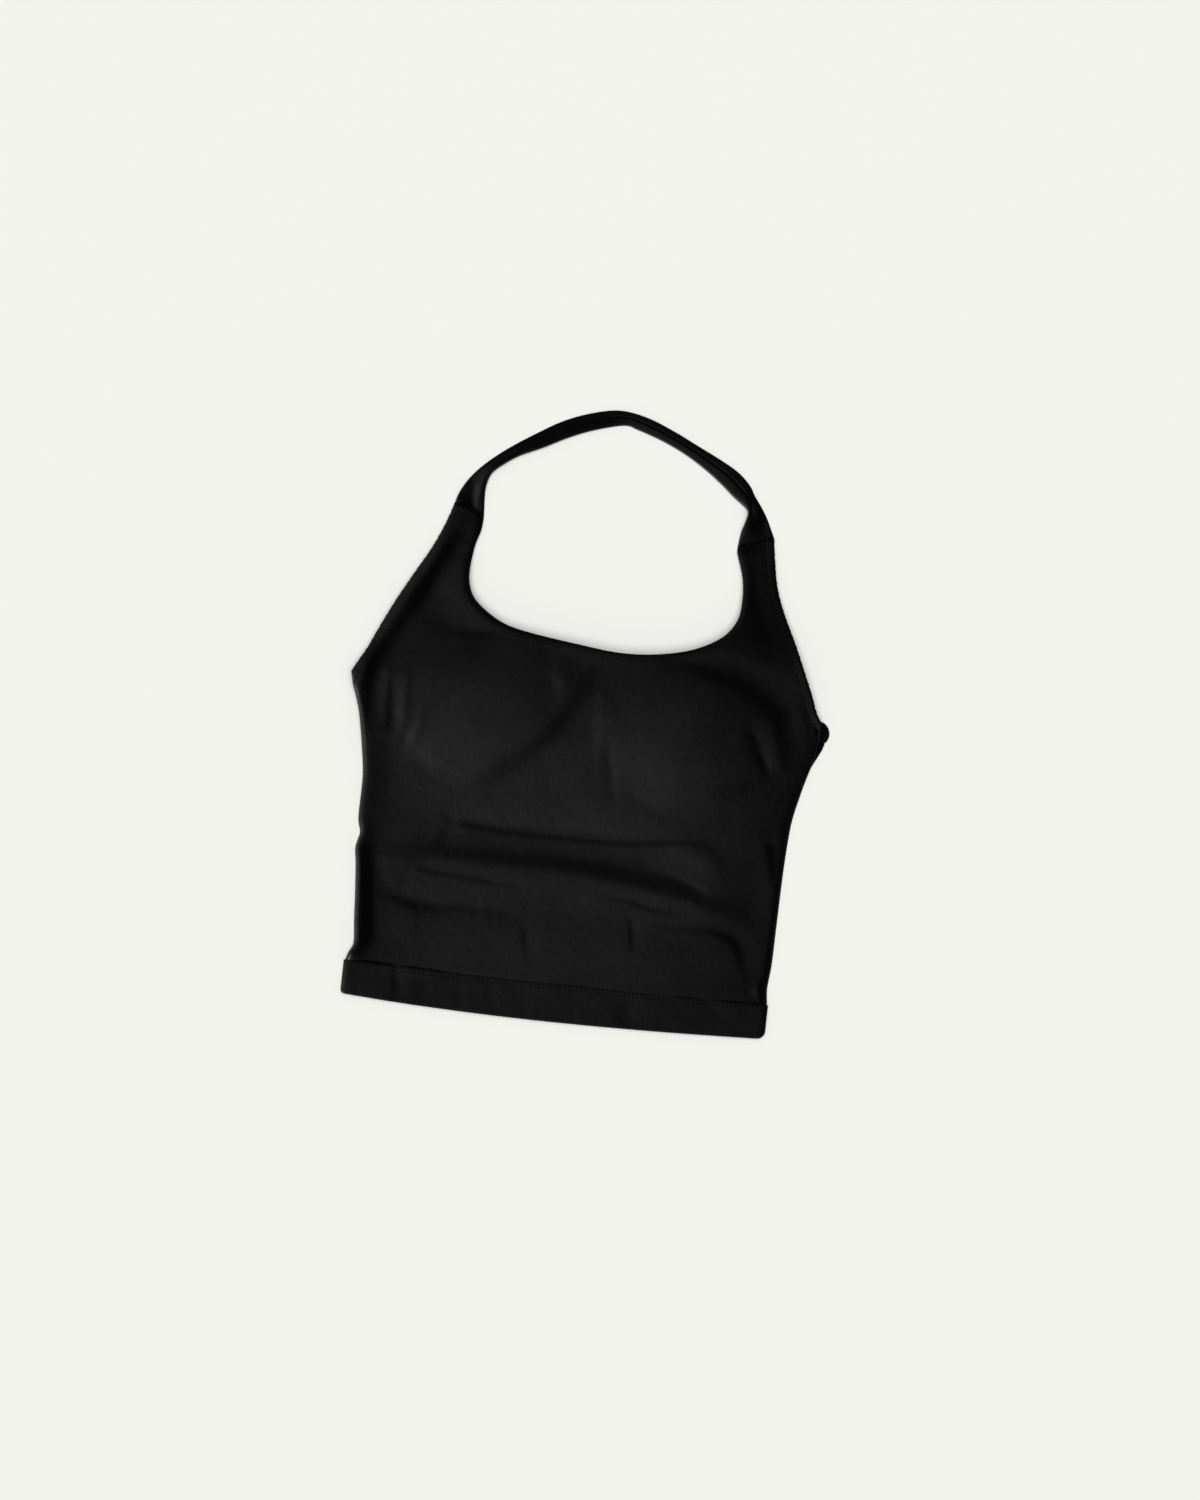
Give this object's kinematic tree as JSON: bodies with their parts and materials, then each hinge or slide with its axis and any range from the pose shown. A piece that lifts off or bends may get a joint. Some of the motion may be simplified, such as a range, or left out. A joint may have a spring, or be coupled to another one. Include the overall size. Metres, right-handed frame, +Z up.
{
  "type": "halter neck crop top",
  "caption": "Halter neck crop top in stretch jersey with soft cups, bound armholes, a turned hem and a neck strap, lying flat and face up.",
  "frame": {"origin": "middle of the footprint, on the surface that the garment lies on", "axes": "+Z up from the surface, +Y from the hem to the neck strap, +X towards the wearer's left, the picture's right"},
  "size_m": [0.3606, 0.461, 0.0215],
  "materials": {
    "black_jersey": "matte nylon and elastane knit",
    "black_rib_binding": "matte folded elastic binding",
    "black_foam": "soft knit-faced foam cup"
  },
  "bodies": {
    "root": {"front_panel": "black_jersey", "back_panel": "black_jersey", "hem_band": "black_jersey", "neck_strap": "black_jersey", "armhole_binding_left": "black_rib_binding", "armhole_binding_right": "black_rib_binding", "back_binding": "black_rib_binding", "cup_left": "black_foam", "cup_right": "black_foam"}
  },
  "joints": []
}
